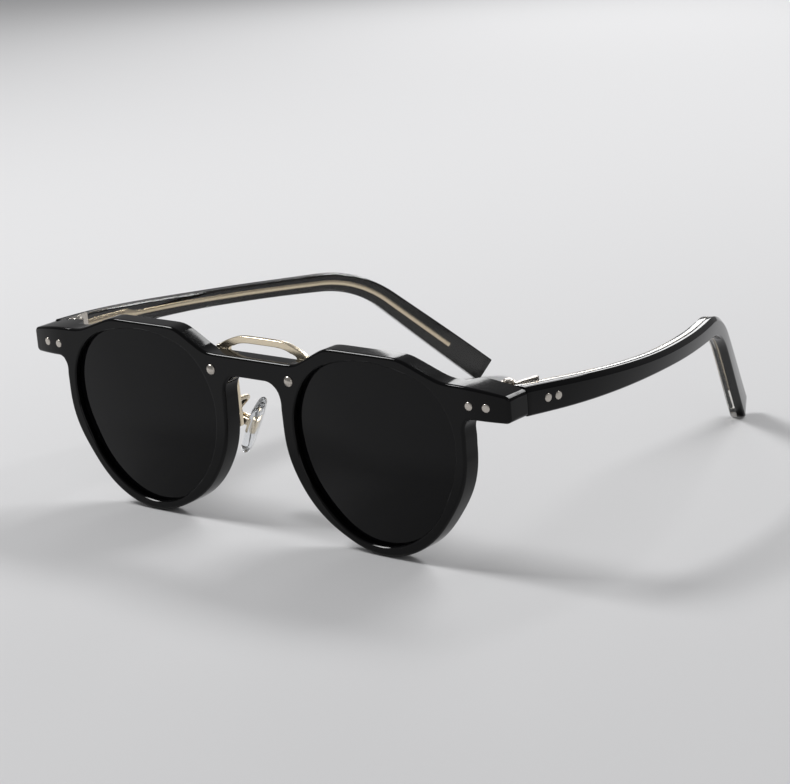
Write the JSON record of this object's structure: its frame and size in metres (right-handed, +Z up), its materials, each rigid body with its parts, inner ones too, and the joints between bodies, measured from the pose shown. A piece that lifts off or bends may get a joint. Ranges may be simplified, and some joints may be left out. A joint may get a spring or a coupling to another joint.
{
  "type": "sunglasses",
  "caption": "Sunglasses with a flat black front, dark lenses, a metal arch over the bridge, rocking clear nose pads and folding temples with a metal core.",
  "frame": {"origin": "middle of the footprint on the surface that the open glasses stand on, with both temples open", "axes": "+Z up; -Y is the way the wearer looks, so the front's outer face points to -Y and the temples run towards +Y; +X is the wearer's left"},
  "size_m": [0.1502, 0.1406, 0.0463],
  "materials": {
    "black_acetate": "polished black cellulose acetate",
    "smoke_lens": "near black see-through lens, polished",
    "clear_acetate": "clear polished acetate",
    "clear_pad": "clear soft plastic",
    "champagne_metal": "satin champagne plating",
    "silver_metal": "satin nickel silver"
  },
  "bodies": {
    "front": {"front_frame": "black_acetate", "left_lens": "smoke_lens", "right_lens": "smoke_lens", "nose_bridge": "champagne_metal", "bridge_rivets": "silver_metal", "left_pad_arm": "champagne_metal", "right_pad_arm": "champagne_metal", "left_pad_screw": "silver_metal", "right_pad_screw": "silver_metal", "left_front_hinge": "silver_metal", "right_front_hinge": "silver_metal", "left_hinge_screw": "silver_metal", "right_hinge_screw": "silver_metal", "left_endpiece_rivets": "silver_metal", "right_endpiece_rivets": "silver_metal"},
    "left_temple": {"left_temple_hinge": "silver_metal", "left_temple": "black_acetate", "left_temple_liner": "clear_acetate", "left_core_wire": "champagne_metal", "left_temple_rivets": "silver_metal"},
    "right_temple": {"right_temple_hinge": "silver_metal", "right_temple": "black_acetate", "right_temple_liner": "clear_acetate", "right_core_wire": "champagne_metal", "right_temple_rivets": "silver_metal"},
    "left_pad": {"left_nose_pad": "clear_pad", "left_pad_mount": "champagne_metal"},
    "right_pad": {"right_nose_pad": "clear_pad", "right_pad_mount": "champagne_metal"}
  },
  "joints": [
    {"name": "left_temple_fold", "type": "hinge", "parent": "front", "child": "left_temple", "pos_m": [0.06564, -0.05978, 0.03887], "axis": [0, -0.038, 0.9993], "range_deg": [0, 80]},
    {"name": "right_temple_fold", "type": "hinge", "parent": "front", "child": "right_temple", "pos_m": [-0.06564, -0.05978, 0.03887], "axis": [0, 0.038, -0.9993], "range_deg": [0, 72]},
    {"name": "left_pad_rock", "type": "hinge", "parent": "front", "child": "left_pad", "pos_m": [0.01268, -0.05857, 0.0229], "axis": [-0.3399, -0.8917, -0.2991], "range_deg": [-8, 8]},
    {"name": "right_pad_rock", "type": "hinge", "parent": "front", "child": "right_pad", "pos_m": [-0.01268, -0.05857, 0.0229], "axis": [-0.3399, 0.8917, 0.2991], "range_deg": [-8, 8]}
  ]
}
